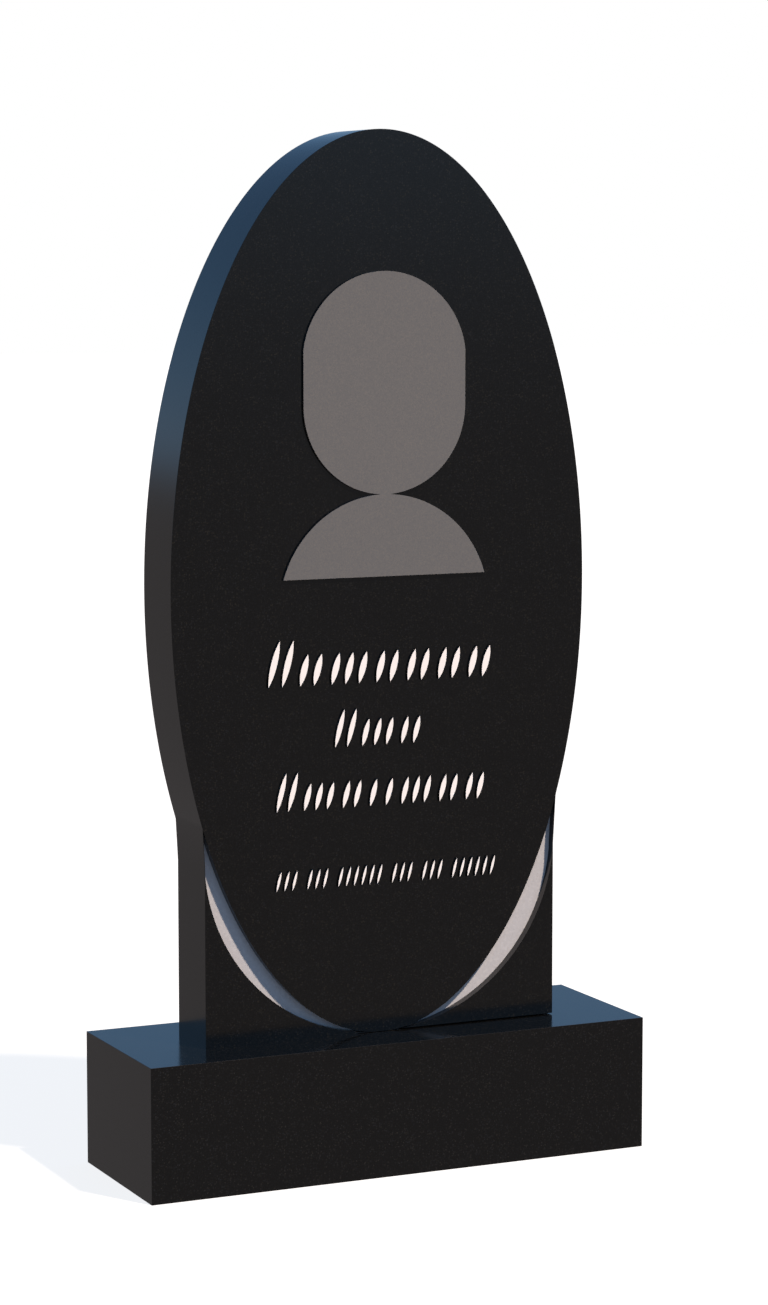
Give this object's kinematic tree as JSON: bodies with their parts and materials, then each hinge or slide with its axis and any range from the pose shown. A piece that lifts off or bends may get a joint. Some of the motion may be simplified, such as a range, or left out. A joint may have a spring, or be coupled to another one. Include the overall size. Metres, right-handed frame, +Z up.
{
  "type": "headstone",
  "caption": "Upright oval granite headstone on a rectangular plinth, with sunk crescents at its foot, a blank raised portrait field and rows of raised strokes.",
  "frame": {"origin": "on the ground, under the middle of the plinth", "axes": "+Z up, +Y from the inscribed front to the back, +X to the viewer's right when the front is faced"},
  "size_m": [0.6, 0.2, 1.1503],
  "materials": {
    "polished_granite": "mirror polished black granite; ground matt on the portrait field, painted white on the raised strokes, dressed to a light matt grey in the sunk crescents, honed to a dull sheen on the backs and left sawn on the undersides"
  },
  "bodies": {
    "root": {"plinth": "polished_granite", "stele": "polished_granite"}
  },
  "joints": []
}
